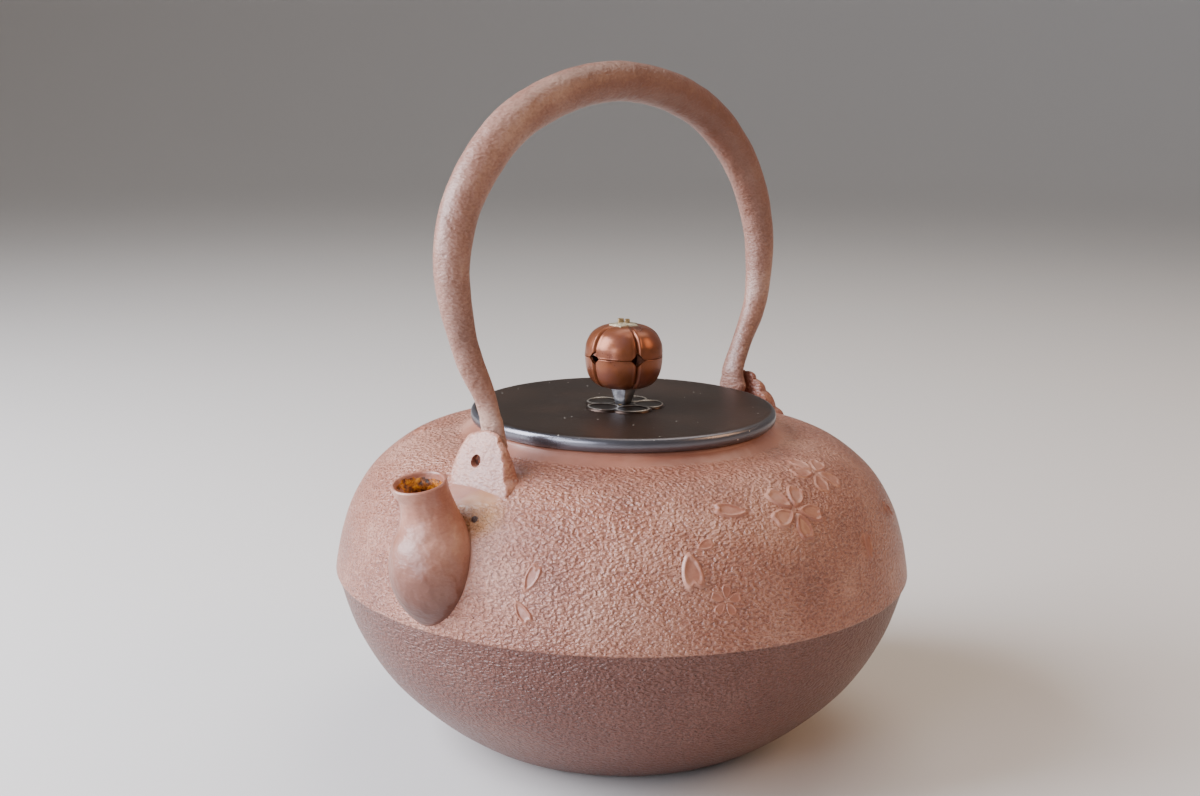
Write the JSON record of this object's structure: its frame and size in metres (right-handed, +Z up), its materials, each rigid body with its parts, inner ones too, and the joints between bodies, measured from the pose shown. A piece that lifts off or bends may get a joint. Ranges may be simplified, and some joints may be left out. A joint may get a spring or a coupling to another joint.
{
  "type": "cast iron kettle",
  "caption": "Japanese cast iron kettle with a bulb-necked spout, a tilting bow handle hinged in lugs on the shoulder, and a lift-off lid with a hollow ribbed knob",
  "frame": {"origin": "centre of the flat base the kettle stands on", "axes": "+Z up, the spout points along -Y, +X is to the right when looking along +Y"},
  "size_m": [0.1808, 0.1893, 0.2112],
  "materials": {
    "kettle_iron": "salmon brown lacquer over fine crinkled cast iron",
    "spout_iron": "smooth salmon brown lacquer, rust yellow inside the mouth",
    "lug_iron": "smooth salmon brown lacquer",
    "handle_iron": "forged iron with pitted salmon brown lacquer",
    "pin_steel": "rusted iron pin",
    "lid_bronze": "dark patinated bronze, satin",
    "seat_bronze": "dark patinated bronze with bright rubbed rims",
    "collar_metal": "silver grey tarnished metal",
    "knob_copper": "polished brown copper patina",
    "calyx_brass": "pale brass",
    "stem_brass": "dull brass"
  },
  "bodies": {
    "kettle": {"kettle_bowl": "kettle_iron", "kettle_shoulder": "kettle_iron", "spout": "spout_iron", "front_lug": "lug_iron", "rear_lug": "lug_iron"},
    "handle": {"handle_bow": "handle_iron", "front_pivot_pin": "pin_steel", "rear_pivot_pin": "pin_steel"},
    "lid": {"lid_plate": "lid_bronze", "flower_seat": "seat_bronze", "split_pin": "stem_brass"},
    "knob": {"collar": "collar_metal", "knob_lower_half": "knob_copper", "knob_upper_half": "knob_copper", "calyx": "calyx_brass"}
  },
  "joints": [
    {"name": "handle_tilt", "type": "hinge", "parent": "kettle", "child": "handle", "pos_m": [0, 0, 0.099], "axis": [0, 1, 0], "range_deg": [-50, 55]},
    {"name": "lid_lift", "type": "slide", "parent": "kettle", "child": "lid", "axis": [0, 0, 1], "range_m": [0, 0.055]},
    {"name": "knob_spin", "type": "hinge", "parent": "lid", "child": "knob", "pos_m": [0, 0, 0.121], "axis": [0, 0, 1], "continuous": true}
  ]
}
